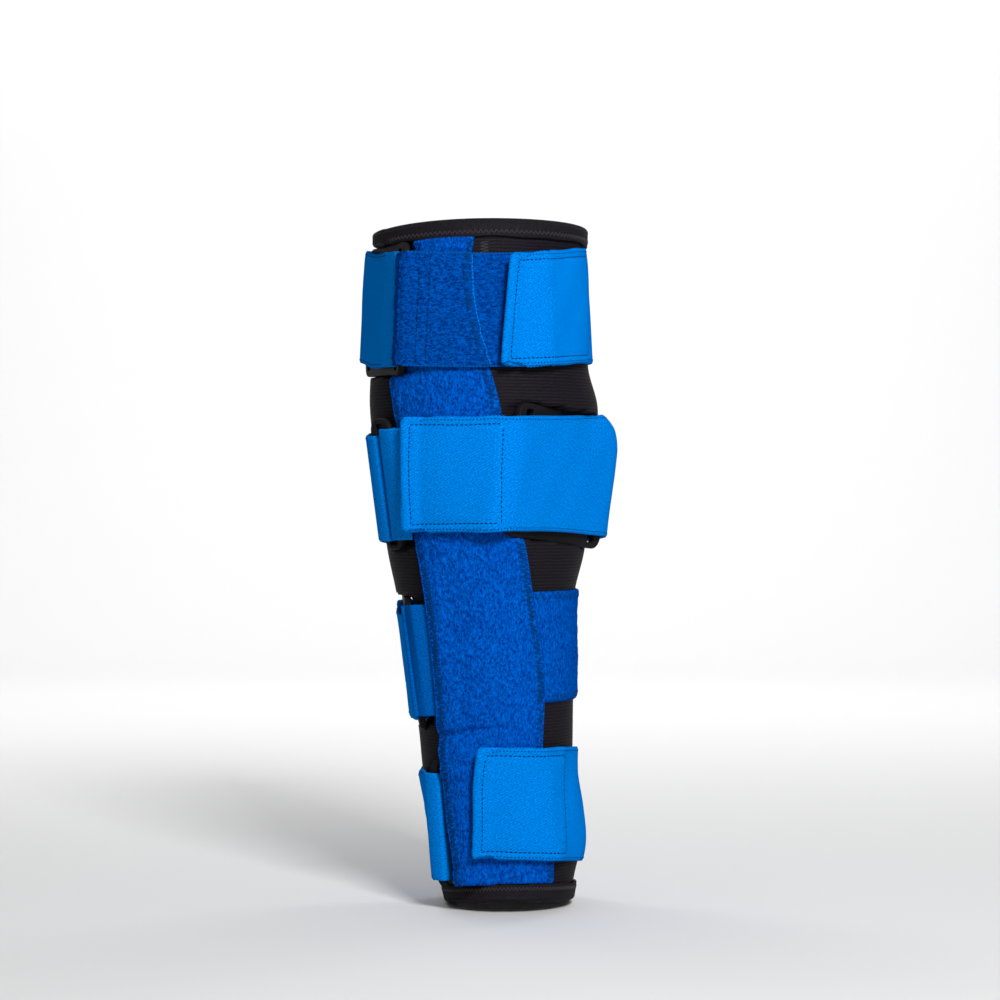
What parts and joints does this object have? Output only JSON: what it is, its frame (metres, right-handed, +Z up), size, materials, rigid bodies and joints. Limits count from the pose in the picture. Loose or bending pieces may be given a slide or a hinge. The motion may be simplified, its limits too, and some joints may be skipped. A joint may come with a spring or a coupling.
{
  "type": "leg splint",
  "caption": "Elastic lower-leg sleeve with a loop-pile shin panel, moulded pressure plates, strap rings and wrap-round elastic straps, in its worn shape.",
  "frame": {"origin": "middle of the hollow that the leg fills, at about half height", "axes": "+Z up the leg to the wide calf rim, -Y out from the shin, +X to the right of someone facing the shin"},
  "size_m": [0.1157, 0.1205, 0.2966],
  "materials": {
    "knit": "fine ribbed elastic knit, black, satin",
    "binding": "folded knit binding, black, satin",
    "loop_pile": "brushed loop pile, blue, matt",
    "strap_elastic": "woven elastic webbing, bright blue, satin",
    "moulded_plastic": "injection moulded, dark grey, satin"
  },
  "bodies": {
    "root": {"sleeve": "knit", "top_hem": "binding", "bottom_hem": "binding", "front_panel": "loop_pile", "side_patch": "loop_pile", "plate_upper": "moulded_plastic", "plate_middle": "moulded_plastic", "plate_lower": "moulded_plastic", "ring_calf": "moulded_plastic", "ring_ankle": "moulded_plastic", "loop_upper": "loop_pile", "loop_calf": "strap_elastic", "loop_lower": "strap_elastic", "strap_upper": "strap_elastic", "strap_calf": "strap_elastic", "strap_lower": "strap_elastic", "strap_ankle": "strap_elastic"}
  },
  "joints": []
}
